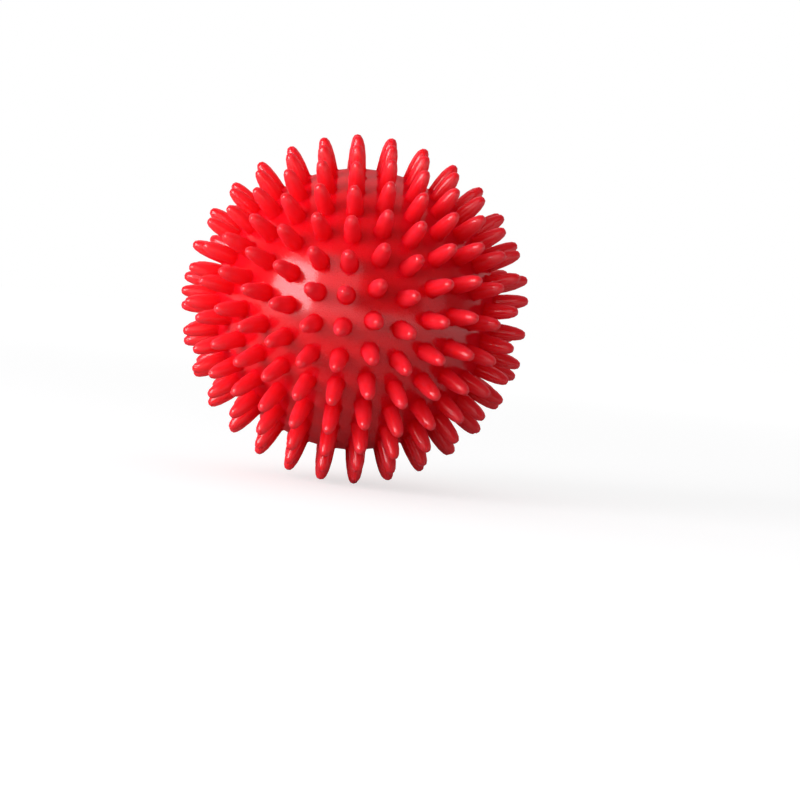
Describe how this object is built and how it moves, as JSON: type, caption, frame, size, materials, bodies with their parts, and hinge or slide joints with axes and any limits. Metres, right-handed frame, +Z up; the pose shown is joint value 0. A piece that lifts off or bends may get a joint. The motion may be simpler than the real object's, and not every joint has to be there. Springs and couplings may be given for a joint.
{
  "type": "spiky massage ball",
  "caption": "Hollow soft ball covered in radial blunt spikes for hand and muscle massage, filled with air through a plugged valve.",
  "frame": {"origin": "centre of the ball", "axes": "+X from the centre out through the valve, along the axis that the rings of spikes go round; +Z up; the side that the picture shows faces -Y"},
  "size_m": [0.0879, 0.0894, 0.0896],
  "materials": {
    "shell_pvc": "semi-gloss soft vinyl",
    "seat_pvc": "semi-gloss firm vinyl",
    "plug_pvc": "semi-gloss firm vinyl"
  },
  "bodies": {
    "ball": {"ball_shell": "shell_pvc", "valve_seat": "seat_pvc"},
    "plug": {"valve_plug": "plug_pvc"}
  },
  "joints": [
    {"name": "plug_pull", "type": "slide", "parent": "ball", "child": "plug", "axis": [1, 0, 0], "range_m": [0, 0.012]}
  ]
}
